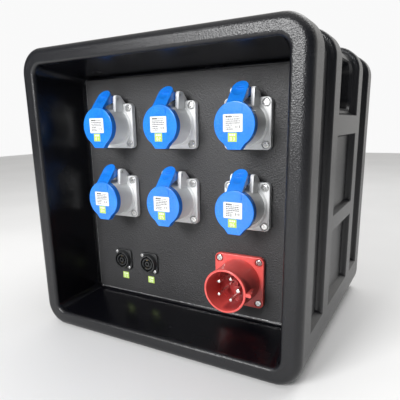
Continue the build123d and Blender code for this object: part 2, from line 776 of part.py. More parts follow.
def lid_ribs():
    """Ring inside the lid that holds the seal in place, and the crossed ribs that stiffen it."""
    height = LID_POCKET_TOP - SEAL_GUIDE_BACK
    ring = rod(SEAL_GUIDE_R, SEAL_GUIDE_BACK, LID_POCKET_TOP)
    ring -= rod(SEAL_GUIDE_R - LID_RIB, LID_BACK, LID_FRONT)
    for turn in (0, 90):
        rib = Box(2 * SEAL_GUIDE_R - LID_RIB, LID_RIB, height, align=ON_BASE)
        ring += Pos(0, 0, SEAL_GUIDE_BACK) * Rot(0, 0, turn) * rib
    return ring


def lid():
    plate = rod(LID_R, LID_BACK, LID_FRONT)
    lip = make_face(
        Polyline(
            (-LIP_TOP_HALF, LIP_TOP_UP),
            (-LIP_BOTTOM_HALF, LIP_BOTTOM_UP),
            (LIP_BOTTOM_HALF, LIP_BOTTOM_UP),
            (LIP_TOP_HALF, LIP_TOP_UP),
            close=True,
        )
    )
    plate += Pos(0, 0, LID_BACK) * extrude(lip, amount=LID_FRONT - LID_BACK)
    plate = fillet(plate.faces().sort_by(Axis.Z)[-1].edges(), LID_EDGE_ROUNDING)
    pad = (ARM_WIDTH, ARM_FOOT_UP - PAD_FOOT_UP)
    pad_up = (ARM_FOOT_UP + PAD_FOOT_UP) / 2
    plate += tile(pad, LABEL_CORNER, LID_POCKET_TOP + PAST, LID_FRONT + PAD_RISE, 0, pad_up)
    plate += lid_arm()
    plate += lid_cheeks()
    plate -= rod(LID_POCKET_R, LID_BACK - PAST, LID_POCKET_TOP)
    plate += lid_ribs()
    return plate - hinge_bar(PIN_R + PIN_CLEARANCE, EAR_OUTER)


def lid_seal():
    return rod(SEAL_OUTER_R, LID_BACK + SLIP, LID_POCKET_TOP) - rod(SEAL_INNER_R, 0, LID_FRONT)


def lid_labels():
    top = LID_FRONT + LABEL_THICKNESS
    rating = tile(RATING_LABEL, LABEL_CORNER, LID_FRONT, top, *RATING_LABEL_AT)
    return rating + tile(TAG, TAG_CORNER, LID_FRONT, top, *TAG_AT)


def hinge_spring():
    """Wound wire round the hinge pin, with a short leg that bears on the housing."""
    coil = Helix(SPRING_PITCH, 2 * SPRING_HALF, SPRING_R, center=(0, 0, -SPRING_HALF))
    start = Plane(origin=coil @ 0, z_dir=coil % 0)
    wire = sweep(start * Circle(SPRING_WIRE_R), path=coil, is_frenet=True)
    return Pos(0, HINGE_UP, HINGE_OUT) * Rot(0, 90, 0) * wire


# ---- inlet -----------------------------------------------------------------------------------
def inlet_housing():
    body = flange_with_seats(
        INLET_FLANGE, INLET_FLANGE_CORNER, INLET_FLANGE_TOP, INLET_CORNERS, INLET_SEAT
    )
    neck_top = SHROUD_TOP - RIM_RING_HEIGHT
    body += Pos(0, 0, INLET_SEAT) * Cone(
        SHROUD_BASE_R, SHROUD_NECK_R, neck_top - INLET_SEAT, align=ON_BASE
    )
    for across, up in INLET_CORNERS:
        body -= rod(M4_RECESS_R, INLET_SEAT, INLET_FLANGE_TOP + PAST, across, up)
    ring = rod(SHROUD_RIM_R, neck_top, SHROUD_TOP)
    body += fillet(ring.edges().filter_by(GeomType.CIRCLE), RIM_RING_ROUNDING)
    body += inlet_lug()
    body += rod(INLET_REAR_R, INLET_REAR_BACK, INLET_SEAT)
    body -= rod(SHROUD_BORE_R, INLET_SHOULDER, SHROUD_TOP + PAST)
    return body - rod(INLET_CARRIER_R + SLIP, INLET_REAR_BACK - PAST, INLET_SHOULDER + PAST)


def inlet_lug():
    """Catch on the right of the shroud: a rounded block at the rim and a low rib behind it."""
    length, across = LUG_BLOCK
    block = tile((length, LUG_WIDTH), LUG_CORNER, LUG_BLOCK_FOOT, SHROUD_TOP - LUG_SINK, across, 0)
    length, across = LUG_RIB
    return block + tile((length, LUG_WIDTH), LUG_CORNER, LUG_RIB_FOOT, LUG_BLOCK_FOOT, across, 0)


def inlet_pin_places():
    """Radius and place of each pin; the first is the earth pin, on the right."""
    step = 360.0 / INLET_PINS
    places = []
    for number in range(INLET_PINS):
        radius = INLET_EARTH_R if number == 0 else INLET_PIN_R
        places.append((radius, turn_round((0, 0), INLET_PIN_CIRCLE_R, step * number)))
    return places


def inlet_insert():
    carrier = rod(INLET_CARRIER_R, INLET_CARRIER_BACK, INLET_SHOULDER)
    carrier += rod(SHROUD_BORE_R - SLIP, INLET_SHOULDER, INLET_FLOOR)
    ridge_top = INLET_FLOOR + INLET_RIDGE_HEIGHT
    ridge = rod(INLET_RIDGE_R[1], INLET_FLOOR, ridge_top) - rod(INLET_RIDGE_R[0], 0, SHROUD_TOP)
    gap = Box(*INLET_RIDGE_GAP, 4 * INLET_RIDGE_HEIGHT)
    carrier += ridge - Pos(*INLET_RIDGE_GAP_AT, ridge_top) * gap
    block_top = INLET_FLOOR + INLET_BLOCK_HEIGHT
    carrier += tile(INLET_BLOCK, INLET_BLOCK_CORNER, INLET_FLOOR - PAST, block_top, *INLET_BLOCK_AT)
    for radius, (across, up) in inlet_pin_places():
        carrier -= rod(radius + PIN_FIT, INLET_CARRIER_BACK - PAST, SHROUD_TOP, across, up)
    return carrier


def inlet_pins():
    pins = Part()
    for radius, (across, up) in inlet_pin_places():
        pin = rod(radius, INLET_CARRIER_BACK, INLET_PIN_TOP, across, up)
        pins += fillet(pin.edges().sort_by(Axis.Z)[-1], radius * PIN_TIP_ROUNDING)
    return pins


# ---- link connectors -------------------------------------------------------------------------
def link_shell():
    plate = tile(LINK_FLANGE, LINK_FLANGE_CORNER, 0, LINK_FLANGE_TOP)
    plate = fillet(plate.faces().sort_by(Axis.Z)[-1].edges(), LINK_FLANGE_ROUNDING)
    plate += Pos(0, 0, LINK_FLANGE_TOP - PAST) * Cone(
        LINK_BODY_R, LINK_RING_R, LINK_TOP - LINK_FLANGE_TOP + PAST, align=ON_BASE
    )
    plate += rod(LINK_REAR_R, LINK_BACK, PAST)
    plate -= rod(LINK_BORE_R, LINK_BACK - PAST, LINK_TOP + PAST)
    for across, up in LINK_CORNERS:
        plate -= rod(M3_HOLE_R, -PAST, LINK_FLANGE_TOP, across, up)
        plate -= rod(M3_HEAD_R + SLIP, LINK_FLANGE_TOP, LINK_TOP + PAST, across, up)
    for turn in (90, 270):
        across, up = turn_round((0, 0), LINK_BORE_R, turn)
        plate -= tile(LINK_KEY, LINK_KEY_CORNER, 0, LINK_TOP + PAST, across, up)
    return plate


def link_core():
    core = rod(LINK_CORE_R, LINK_BACK, LINK_CORE_TOP)
    core += rod(LINK_BORE_R, LINK_BACK, LINK_BACK + LINK_STEP)
    well = rod(LINK_WELL_R, LINK_CORE_TOP - LINK_WELL_DEPTH, LINK_TOP)
    well -= rod(LINK_POST_R, 0, LINK_TOP)
    core -= well
    core -= rod(LINK_EYE_R, LINK_CORE_TOP - LINK_WELL_DEPTH, LINK_TOP)
    notch = Box(*LINK_NOTCH, 2 * LINK_WELL_DEPTH)
    for turn in LINK_NOTCH_ANGLES:
        across, up = turn_round((0, 0), LINK_CORE_R, turn)
        core -= Pos(across, up, LINK_CORE_TOP) * Rot(0, 0, turn) * notch
    return core


def link_contacts():
    """Three contact blades at the bottom of the well of a connector."""
    blades = Part()
    base = LINK_CORE_TOP - LINK_WELL_DEPTH
    for turn in LINK_BLADE_ANGLES:
        across, up = turn_round((0, 0), (LINK_WELL_R + LINK_POST_R) / 2, turn)
        blades += Pos(across, up, base) * Rot(0, 0, turn) * Box(*LINK_BLADE, align=ON_BASE)
    return blades


# ---- inside ----------------------------------------------------------------------------------
def mounting_rail():
    """Top-hat rail across the case."""
    half = RAIL_WIDTH / 2
    crown = RAIL_CROWN / 2
    front_y = RAIL_Y
    back_y = RAIL_Y + RAIL_RISE
    side_view = (
        (front_y, -crown),
        (back_y - RAIL_SHEET, -crown),
        (back_y - RAIL_SHEET, -half),
        (back_y, -half),
        (back_y, -crown + RAIL_SHEET),
        (front_y + RAIL_SHEET, -crown + RAIL_SHEET),
        (front_y + RAIL_SHEET, crown - RAIL_SHEET),
        (back_y, crown - RAIL_SHEET),
        (back_y, half),
        (back_y - RAIL_SHEET, half),
        (back_y - RAIL_SHEET, crown),
        (front_y, crown),
    )
    rail = Pos(0, 0, RAIL_Z) * bar_across(side_view, -RAIL_LENGTH / 2, RAIL_LENGTH / 2)
    for side in (-1, 1):
        rail -= Pos(side * BRACKET_X, RAIL_Y, RAIL_Z) * Rot(90, 0, 0) * Cylinder(M4_HOLE_R, 4 * RAIL_SHEET)
    return rail


def rail_brackets():
    """Two bent strips from the back of the front panel to the rail."""
    foot_y = FRONT_PANEL_Y + PANEL_THICKNESS
    brackets = Part()
    for side in (-1, 1):
        web_x = BRACKET_X - BRACKET_FOOT / 2
        foot = Pos(BRACKET_X, foot_y + BRACKET_SHEET / 2, 0) * Box(BRACKET_FOOT, BRACKET_SHEET, BRACKET_WIDTH)
        web = Pos(web_x - BRACKET_SHEET / 2, (foot_y + RAIL_Y) / 2, 0) * Box(
            BRACKET_SHEET, RAIL_Y - foot_y, BRACKET_WIDTH
        )
        head = Pos(BRACKET_X, RAIL_Y - BRACKET_SHEET / 2, 0) * Box(BRACKET_FOOT, BRACKET_SHEET, BRACKET_WIDTH)
        strip = foot + web + head
        across = Pos(BRACKET_X, 0, 0) * Rot(90, 0, 0)
        strip -= Pos(0, foot_y, 0) * across * Cylinder(STUD_R + STUD_CLEARANCE, 4 * BRACKET_SHEET)
        strip -= Pos(0, RAIL_Y, 0) * across * Cylinder(M4_HOLE_R, 4 * BRACKET_SHEET)
        if side < 0:
            strip = mirror(strip, about=Plane.YZ)
        brackets += Pos(0, 0, RAIL_Z) * strip
    return brackets


def rail_screws():
    """Screws and nuts that hold the rail on its brackets."""
    fixings = Part()
    for side in (-1, 1):
        place = Plane(
            origin=(side * BRACKET_X, RAIL_Y + RAIL_SHEET, RAIL_Z), x_dir=(-1, 0, 0), z_dir=(0, 1, 0)
        ).location
        tail = -RAIL_SHEET - BRACKET_SHEET - M4_NUT_THICKNESS - PAST
        fixings += place * cross_head_screw(M4_R, M4_HEAD_R, M4_HEAD_HEIGHT, 0, tail)
        nut = hex_nut(M4_NUT_WIDTH, M4_NUT_THICKNESS, M4_R + NUT_BACKLASH, -RAIL_SHEET - BRACKET_SHEET)
        fixings += place * nut
    return fixings


def rail_block(x, width, top_y, well_r):
    """Terminal or end stop: a body behind the rail, with two screw wells in its rear face."""
    depth = top_y - TERMINAL_BASE_Y
    block = Pos(x, TERMINAL_BASE_Y + depth / 2, RAIL_Z) * Box(width, depth, TERMINAL_HEIGHT)
    block = chamfer(block.edges().filter_by(Axis.X).sort_by(Axis.Y)[-2:], TERMINAL_CHAMFER)
    for step in (-1, 1):
        well = Pos(x, top_y, RAIL_Z + step * TERMINAL_HEIGHT / 4) * Rot(90, 0, 0)
        block -= well * Cylinder(well_r, 2 * TERMINAL_WELL_DEPTH)
    return block


def terminals_at(xs):
    return Part() + [rail_block(x, TERMINAL_WIDTH, TERMINAL_TOP_Y, TERMINAL_WELL_R) for x in xs]


def terminal_xs():
    return [TERMINAL_FIRST_X + TERMINAL_PITCH * i for i in range(TERMINAL_COUNT)]


def cable(points, radius, bend):
    """Round cable along straight runs and rounded bends."""
    path = FilletPolyline(*points, radius=bend)
    start = Plane(origin=path @ 0, z_dir=path % 0)
    return sweep(start * Circle(radius), path=path)


def row_cables(xs, z, start_y, side, row):
    """Cables from one row of fixtures to the terminals, above them (side 1) or below (side -1)."""
    turn, lanes, slots = row
    end_z = RAIL_Z + side * TERMINAL_HEIGHT / 2
    cables = []
    for x, lane, slot in zip(xs, lanes, slots):
        column = terminal_xs()[slot]
        route = (
            (x, start_y, z),
            (x, lane, z),
            (column, lane, end_z + side * turn),
            (column, CABLE_ENTRY_Y, end_z + side * CABLE_STRAIGHT),
            (column, CABLE_ENTRY_Y, end_z),
        )
        cables.append(cable(route, CABLE_R, CABLE_BEND))
    return cables


def outlet_cables():
    """One cable from the rail terminals to each socket and each link connector."""
    socket_y = FRONT_PANEL_Y - CARRIER_BACK
    upper_z, lower_z = SOCKET_ROWS
    cables = row_cables(SOCKET_COLUMNS, upper_z, socket_y, 1, UPPER_ROW)
    cables += row_cables(SOCKET_COLUMNS, lower_z, socket_y, 1, LOWER_ROW)
    cables += row_cables(LINK_COLUMNS, LINK_Z, FRONT_PANEL_Y - LINK_BACK, -1, LINK_ROW)
    return Part() + cables


def feed_wires():
    """Five wires from the back of the inlet to the rail terminals, leftmost pin first."""
    wires = Part()
    below = RAIL_Z - TERMINAL_HEIGHT / 2
    columns = terminal_xs()[-INLET_PINS:]
    starts = sorted((round(place[0], 3), place[1]) for _, place in inlet_pin_places())
    for number, ((across, up), column) in enumerate(zip(starts, columns)):
        lane = FEED_FIRST_LANE + FEED_LANE_STEP * number
        x = INLET_X + across
        z = INLET_Z + up
        route = (
            (x, FRONT_PANEL_Y - INLET_CARRIER_BACK, z),
            (x, lane, z),
            (column, lane, below - FEED_TURN),
            (column, FEED_ENTRY_Y, below - FEED_STRAIGHT),
            (column, FEED_ENTRY_Y, below),
        )
        wires += cable(route, FEED_R, FEED_BEND)
    return wires


# ---- assembly --------------------------------------------------------------------------------
def at_each(places, make):
    """The same piece at every place, as separate solids."""
    piece = make()
    return Part() + [fixture_at(x, z) * piece for x, z in places]


def at_corners(places, corners, piece):
    """The same piece at every fixing point of every fixture, as separate solids."""
    spots = [(x + across, z + up) for x, z in places for across, up in corners]
    return Part() + [fixture_at(x, z) * piece for x, z in spots]


def screws_and_nuts():
    """Fixings of the sockets and the inlet, and of the link connectors."""
    socket_screw = cross_head_screw(M4_R, M4_HEAD_R, M4_HEAD_HEIGHT, M4_SEAT, M4_TAIL)
    inlet_screw = cross_head_screw(M4_R, M4_HEAD_R, M4_HEAD_HEIGHT, INLET_SEAT, M4_TAIL)
    link_screw = cross_head_screw(M3_R, M3_HEAD_R, M3_HEAD_HEIGHT, LINK_FLANGE_TOP, M4_TAIL)
    m4_nut = hex_nut(M4_NUT_WIDTH, M4_NUT_THICKNESS, M4_R + NUT_BACKLASH, -PANEL_THICKNESS)
    m3_nut = hex_nut(M3_NUT_WIDTH, M3_NUT_THICKNESS, M3_R + NUT_BACKLASH, -PANEL_THICKNESS)
    groups = {
        "socket_screws": (SOCKETS, SOCKET_CORNERS, socket_screw),
        "inlet_screws": (INLETS, INLET_CORNERS, inlet_screw),
        "link_screws": (LINKS, LINK_CORNERS, link_screw),
    }
    made = {name: at_corners(*group) for name, group in groups.items()}
    made["fixture_nuts"] = (
        at_corners(SOCKETS, SOCKET_CORNERS, m4_nut)
        + at_corners(INLETS, INLET_CORNERS, m4_nut)
        + at_corners(LINKS, LINK_CORNERS, m3_nut)
    )
    return made


def build_nodes():
    nodes = {
        "case_body": case_body(),
        "front_panel": front_panel(),
        "panel_studs": panel_studs(),
        "panel_nuts": panel_nuts(),
        "rear_panel": rear_panel(),
        "rear_panel_screws": rear_panel_screws(),
        "rear_inserts": rear_inserts(),
    }
    per_socket = {
        "socket_housing": socket_housing(),
        "socket_insert": socket_insert(),
        "lid": lid(),
        "lid_seal": lid_seal(),
        "lid_labels": lid_labels(),
    }
    for number, (x, z) in enumerate(SOCKETS, start=1):
        for name, piece in per_socket.items():
            nodes[f"{name}_{number}"] = fixture_at(x, z) * piece
    nodes["socket_contacts"] = at_each(SOCKETS, socket_contacts)
    socket_gasket = flange_gasket(SOCKET_FLANGE, SOCKET_FLANGE_CORNER, REAR_TUBE_R, SOCKET_CORNERS)
    inlet_gasket = flange_gasket(INLET_FLANGE, INLET_FLANGE_CORNER, INLET_REAR_R, INLET_CORNERS)
    gaskets = at_each(SOCKETS, lambda: socket_gasket) + at_each(INLETS, lambda: inlet_gasket)
    nodes["flange_gaskets"] = gaskets
    nodes["hinge_pins"] = at_each(SOCKETS, lambda: hinge_bar(PIN_R, PIN_HALF))
    nodes["hinge_springs"] = at_each(SOCKETS, hinge_spring)
    nodes["inlet_housing"] = at_each(INLETS, inlet_housing)
    nodes["inlet_insert"] = at_each(INLETS, inlet_insert)
    nodes["inlet_pins"] = at_each(INLETS, inlet_pins)
    nodes["link_shells"] = at_each(LINKS, link_shell)
    nodes["link_cores"] = at_each(LINKS, link_core)
    nodes["link_contacts"] = at_each(LINKS, link_contacts)
    nodes["link_tags"] = at_each(LINKS, lambda: tile(TAG, TAG_CORNER, 0, LABEL_THICKNESS, *LINK_TAG_AT))
    nodes.update(screws_and_nuts())
    nodes["mounting_rail"] = mounting_rail()
    nodes["rail_brackets"] = rail_brackets()
    nodes["rail_screws"] = rail_screws()
    nodes["terminals"] = terminals_at(terminal_xs())
    nodes["earth_terminals"] = terminals_at(EARTH_TERMINAL_XS)
    end_stops = [rail_block(x, END_STOP_WIDTH, END_STOP_TOP_Y, END_STOP_WELL_R) for x in END_STOP_XS]
    nodes["end_stops"] = Part() + end_stops
    nodes["outlet_cables"] = outlet_cables()
    nodes["feed_wires"] = feed_wires()
    return nodes


def main():
    os.makedirs("parts", exist_ok=True)
    for name, part in build_nodes().items():
        export_step(part, f"parts/{name}.step")


main()
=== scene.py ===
import json
import math
import random

import bmesh
import bpy
from mathutils import Matrix, Vector


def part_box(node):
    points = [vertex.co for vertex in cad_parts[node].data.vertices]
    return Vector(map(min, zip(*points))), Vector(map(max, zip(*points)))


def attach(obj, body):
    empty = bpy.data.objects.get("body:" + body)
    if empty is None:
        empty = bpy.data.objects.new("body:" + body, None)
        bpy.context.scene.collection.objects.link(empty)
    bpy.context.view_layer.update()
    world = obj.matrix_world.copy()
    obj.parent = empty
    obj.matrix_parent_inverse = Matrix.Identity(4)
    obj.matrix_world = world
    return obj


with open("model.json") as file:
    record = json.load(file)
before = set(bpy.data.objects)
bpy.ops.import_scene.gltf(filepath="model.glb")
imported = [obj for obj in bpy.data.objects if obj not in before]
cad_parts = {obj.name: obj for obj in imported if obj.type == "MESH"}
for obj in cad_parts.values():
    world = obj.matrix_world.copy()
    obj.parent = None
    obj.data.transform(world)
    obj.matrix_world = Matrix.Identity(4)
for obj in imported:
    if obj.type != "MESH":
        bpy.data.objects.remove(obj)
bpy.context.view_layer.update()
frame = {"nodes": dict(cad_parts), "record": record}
NODES = frame["nodes"]
MM = 0.001

# ---- camera ----
CAMERA_PLACE = (0.3272, -0.6326, 0.3158)
CAMERA_YAW = 29.625
CAMERA_PITCH = -13.919
CAMERA_ROLL = 1.125
CAMERA_LENS = 37.634
CAMERA_SHIFT = (0.0042, 0.0697)


def make_camera():
    """The viewpoint: yaw about Z, then pitch, then roll about the line of sight."""
    data = bpy.data.cameras.new("camera")
    data.lens = CAMERA_LENS
    data.shift_x, data.shift_y = CAMERA_SHIFT
    data.clip_start = 0.01
    camera = bpy.data.objects.new("camera", data)
    turn = (
        Matrix.Rotation(math.radians(CAMERA_YAW), 4, "Z")
        @ Matrix.Rotation(math.radians(CAMERA_PITCH), 4, "X")
        @ Matrix.Rotation(math.radians(CAMERA_ROLL), 4, "Y")
        @ Matrix.Rotation(math.radians(90), 4, "X")
    )
    camera.matrix_world = Matrix.Translation(CAMERA_PLACE) @ turn
    bpy.context.scene.collection.objects.link(camera)
    bpy.context.scene.camera = camera


# ---- studio ----
FLOOR_HALF = 4.0
KEY_LIGHT = {"place": (-0.42, -1.9, 0.98), "target": (0, 0, 0.2), "size": (0.8, 0.7), "power": 43}
TOP_LIGHT = {"place": (0.5, 0.9, 1.9), "target": (0, 0, 0.3), "size": (1.4, 1.0), "power": 16}
BACKDROP = (0.95, 0.95, 0.95)
SKY_FRONT = (0.07, 0.075, 0.09)
SKY_BACK = (0.86, 0.85, 0.83)
SKY_BACK_SPAN = (0.05, 0.7)
SKY_TOP_SPAN = (0.55, 0.95)


def area_light(name, place, target, size, power):
    """A rectangular softbox at place that faces target."""
    data = bpy.data.lights.new(name, "AREA")
    data.shape = "RECTANGLE"
    data.size, data.size_y = size
    data.energy = power
    lamp = bpy.data.objects.new(name, data)
    aim = Vector(target) - Vector(place)
    lamp.matrix_world = Matrix.Translation(place) @ aim.to_track_quat("-Z", "Y").to_matrix().to_4x4()
    bpy.context.scene.collection.objects.link(lamp)


def make_sky():
    """Soft surroundings: bright behind and above the box, darker on the camera's side."""
    world = bpy.data.worlds.new("studio")
    world.use_nodes = True
    tree = world.node_tree
    sky = tree.nodes["Background"]
    sky.inputs["Strength"].default_value = 1.0
    place = tree.nodes.new("ShaderNodeTexCoord")
    split = tree.nodes.new("ShaderNodeSeparateXYZ")
    tree.links.new(place.outputs["Generated"], split.inputs[0])
    ramp = tree.nodes.new("ShaderNodeValToRGB")
    brighter = tree.nodes.new("ShaderNodeMath")
    brighter.operation = "MAXIMUM"
    for slot, letter, reach in ((0, "Y", SKY_BACK_SPAN), (1, "Z", SKY_TOP_SPAN)):
        rise = tree.nodes.new("ShaderNodeMapRange")
        rise.inputs["From Min"].default_value, rise.inputs["From Max"].default_value = reach
        tree.links.new(split.outputs[letter], rise.inputs["Value"])
        tree.links.new(rise.outputs["Result"], brighter.inputs[slot])
    tree.links.new(brighter.outputs[0], ramp.inputs["Fac"])
    seen = tree.nodes.new("ShaderNodeLightPath")
    backdrop = tree.nodes.new("ShaderNodeMix")
    backdrop.data_type = "RGBA"
    tree.links.new(seen.outputs["Is Camera Ray"], backdrop.inputs[0])
    tree.links.new(ramp.outputs["Color"], backdrop.inputs[6])
    backdrop.inputs[7].default_value = (*BACKDROP, 1.0)
    tree.links.new(backdrop.outputs[2], sky.inputs["Color"])
    first, last = ramp.color_ramp.elements
    first.color = (*SKY_FRONT, 1.0)
    last.color = (*SKY_BACK, 1.0)
    bpy.context.scene.world = world


def make_studio():
    """Sky, two softboxes and a pale floor."""
    make_sky()
    area_light("key", **KEY_LIGHT)
    area_light("top", **TOP_LIGHT)
    mesh = bpy.data.meshes.new("floor")
    corners = [(-FLOOR_HALF, -FLOOR_HALF, 0), (FLOOR_HALF, -FLOOR_HALF, 0)]
    corners += [(FLOOR_HALF, FLOOR_HALF, 0), (-FLOOR_HALF, FLOOR_HALF, 0)]
    mesh.from_pydata(corners, [], [(0, 1, 2, 3)])
    floor = bpy.data.objects.new("floor", mesh)
    bpy.context.scene.collection.objects.link(floor)
    floor.data.materials.append(floor_material())
    bpy.context.scene.view_settings.view_transform = "Standard"


# ---- materials ----
# The recess of the case, as half sizes from the middle of the panel, with soft limits. Inside it the case
# carries painted shade.
RECESS_MIDDLE = 0.213
RECESS_HALF_WIDTH = (0.1865, 0.1895)
RECESS_HALF_HEIGHT = (0.1875, 0.1905)
RECESS_FRONT = (0.190, 0.1955)
RECESS_BACK = (0.095, 0.105)
# Where the painted highlight along the panel's left and lower edges begins, drawn as a bright metallic line,
# and how ragged and soft that line is.
PANEL_HALF_WIDTH = 0.1711
PANEL_HALF_HEIGHT = 0.1714
EDGE_RAGGED = 0.0008
EDGE_SOFT = 0.0002
# The inside of the inlet's shroud, where painted shade darkens the red: its radius, the softness of that
# limit, and its front and back.
SHROUD_RADIUS = 0.0281
SHROUD_SOFT = 0.0004
SHROUD_DEPTH = (-0.1625, -0.150)


class Graph:
    """A procedural material: a Principled shader and the nodes that feed it."""

    def __init__(self, name, **values):
        self.material = bpy.data.materials.new(name)
        self.material.use_nodes = True
        self.tree = self.material.node_tree
        self.shader = self.tree.nodes["Principled BSDF"]
        for key, value in values.items():
            self.shader.inputs[key.replace("_", " ")].default_value = value
        self.place = self.add("ShaderNodeTexCoord").outputs["Object"]

    def add(self, kind, inputs=None, **settings):
        node = self.tree.nodes.new(kind)
        for key, value in settings.items():
            setattr(node, key, value)
        for key, value in (inputs or {}).items():
            if isinstance(value, bpy.types.NodeSocket):
                self.tree.links.new(value, node.inputs[key])
            else:
                node.inputs[key].default_value = value
        return node

    def noise(self, scale, detail=2.0, roughness=0.5, place=None):
        inputs = {"Vector": place or self.place, "Scale": scale, "Detail": detail, "Roughness": roughness}
        return self.add("ShaderNodeTexNoise", inputs).outputs["Fac"]

    def cells(self, scale):
        """Rounded cells, for a pebbled surface."""
        node = self.add("ShaderNodeTexVoronoi", {"Vector": self.place, "Scale": scale}, feature="SMOOTH_F1")
        node.inputs["Smoothness"].default_value = 0.6
        return node.outputs["Distance"]

    def stretched(self, scales):
        """Object coordinates, stretched along each axis."""
        node = self.add("ShaderNodeMapping", {"Vector": self.place, "Scale": scales})
        return node.outputs["Vector"]

    def span(self, value, low, high, to_low=0.0, to_high=1.0):
        """A smooth step from to_low to to_high as value goes from low to high."""
        node = self.add(
            "ShaderNodeMapRange",
            {"Value": value, "From Min": low, "From Max": high, "To Min": to_low, "To Max": to_high},
            interpolation_type="SMOOTHSTEP",
        )
        return node.outputs["Result"]

    def maths(self, operation, first, second=0.0):
        return self.add("ShaderNodeMath", {0: first, 1: second}, operation=operation).outputs[0]

    def axis(self, letter):
        if not hasattr(self, "_axes"):
            self._axes = self.add("ShaderNodeSeparateXYZ", {"Vector": self.place})
        return self._axes.outputs[letter]

    def mix(self, factor, first, second):
        """Two colours, mixed."""
        return self.add("ShaderNodeMix", {0: factor, 6: first, 7: second}, data_type="RGBA").outputs[2]

    def blend_value(self, factor, first, second):
        """Two values, mixed."""
        return self.add("ShaderNodeMix", {0: factor, 2: first, 3: second}, data_type="FLOAT").outputs[0]

    def feed(self, name, value):
        self.tree.links.new(value, self.shader.inputs[name])

    def bump(self, *layers):
        """Layers of (height, strength, distance) on the shader's normal."""
        normal = None
        for height, strength, distance in layers:
            node = self.add("ShaderNodeBump", {"Height": height, "Strength": strength, "Distance": distance})
            if normal is not None:
                self.tree.links.new(normal, node.inputs["Normal"])
            normal = node.outputs["Normal"]
        self.feed("Normal", normal)


def rgb(red, green, blue):
    return (red, green, blue, 1.0)


def floor_material():
    graph = Graph("studio_floor", Roughness=0.6)
    tone = graph.span(graph.noise(3.0), 0.3, 0.7)
    graph.feed("Base Color", graph.mix(tone, rgb(0.86, 0.86, 0.86), rgb(0.89, 0.89, 0.89)))
    return graph.material


def case_material():
    """Black moulded polyethylene: pebbled outside, smoother and glossier in the recesses, with painted shade
    there: a darker colour and a lower specular level.
    """
    graph = Graph("case_plastic")
    across = graph.maths("ABSOLUTE", graph.axis("X"))
    depth = graph.maths("ABSOLUTE", graph.axis("Y"))
    rise = graph.maths("ABSOLUTE", graph.maths("SUBTRACT", graph.axis("Z"), RECESS_MIDDLE))
    in_width = graph.span(across, *RECESS_HALF_WIDTH, 1.0, 0.0)
    in_height = graph.span(rise, *RECESS_HALF_HEIGHT, 1.0, 0.0)
    in_depth = graph.span(depth, *RECESS_FRONT, 1.0, 0.0)
    outer = graph.span(depth, *RECESS_BACK)
    in_outline = graph.maths("MULTIPLY", in_width, in_height)
    recess = graph.maths("MULTIPLY", in_outline, graph.maths("MULTIPLY", in_depth, outer))
    pebble = graph.cells(620.0)
    grain = graph.noise(1500.0, 3.0, 0.6)
    broad = graph.noise(14.0, 3.0)
    scuff = graph.noise(60.0, 5.0, 0.7, graph.stretched((1.0, 0.25, 3.0)))
    scuffed = graph.span(scuff, 0.64, 0.72)
    base = graph.mix(graph.span(broad, 0.35, 0.65), rgb(0.004, 0.0042, 0.006), rgb(0.008, 0.0083, 0.010))
    wear_and_edge_highlight = graph.mix(graph.maths("MULTIPLY", scuffed, 0.3), base, rgb(0.07, 0.07, 0.072))
    # Painted shade: inside the recess the base colour is darker and the specular level lower than outside.
    graph.feed("Base Color", graph.mix(recess, wear_and_edge_highlight, rgb(0.003, 0.0031, 0.0045)))
    graph.feed("Specular IOR Level", graph.span(recess, 0.0, 1.0, 0.5, 0.32))
    outside_rough = graph.span(grain, 0.3, 0.7, 0.26, 0.36)
    inside_rough = graph.span(broad, 0.3, 0.7, 0.18, 0.28)
    graph.feed("Roughness", graph.blend_value(recess, outside_rough, inside_rough))
    graph.shader.inputs["IOR"].default_value = 1.5
    flat = graph.maths("SUBTRACT", 1.0, graph.maths("MULTIPLY", recess, 0.8))
    graph.bump(
        (graph.maths("MULTIPLY", pebble, flat), 0.4, 0.0006),
        (graph.maths("MULTIPLY", grain, flat), 0.35, 0.0004),
        (broad, 0.25, 0.002),
    )
    return graph.material


def past(graph, letter, middle, reach):
    """How far a place lies beyond reach from the middle, along one axis."""
    away = graph.maths("ABSOLUTE", graph.maths("SUBTRACT", graph.axis(letter), middle))
    return graph.maths("SUBTRACT", away, reach)


def panel_material():
    """Dark powder-coated sheet with a fine orange-peel texture, and a painted highlight as a bright metallic
    line along its left and lower edges.
    """
    graph = Graph("panel_coat")
    broad = graph.noise(9.0, 2.0)
    peel = graph.cells(560.0)
    grain = graph.noise(1300.0, 3.0, 0.7)
    coat = graph.mix(graph.span(broad, 0.35, 0.65), rgb(0.025, 0.025, 0.0265), rgb(0.034, 0.034, 0.0355))
    # Painted highlight: only the left and lower edges turn bright and metallic, where light catches the edge.
    past_left = graph.maths("SUBTRACT", -PANEL_HALF_WIDTH, graph.axis("X"))
    past_bottom = graph.maths("SUBTRACT", RECESS_MIDDLE - PANEL_HALF_HEIGHT, graph.axis("Z"))
    ragged = graph.maths("MULTIPLY", graph.noise(120.0, 3.0), EDGE_RAGGED)
    edge = graph.maths("ADD", graph.maths("MAXIMUM", past_left, past_bottom), ragged)
    wear_and_edge_highlight = graph.span(edge, -EDGE_SOFT, EDGE_SOFT)
    graph.feed("Base Color", graph.mix(wear_and_edge_highlight, coat, rgb(0.8, 0.8, 0.8)))
    graph.feed("Metallic", wear_and_edge_highlight)
    coat_rough = graph.span(grain, 0.3, 0.7, 0.36, 0.48)
    edge_highlight_rough = graph.span(grain, 0.3, 0.7, 0.2, 0.32)
    graph.feed("Roughness", graph.blend_value(wear_and_edge_highlight, coat_rough, edge_highlight_rough))
    graph.bump((peel, 0.9, 0.0006), (grain, 0.8, 0.0005))
    return graph.material


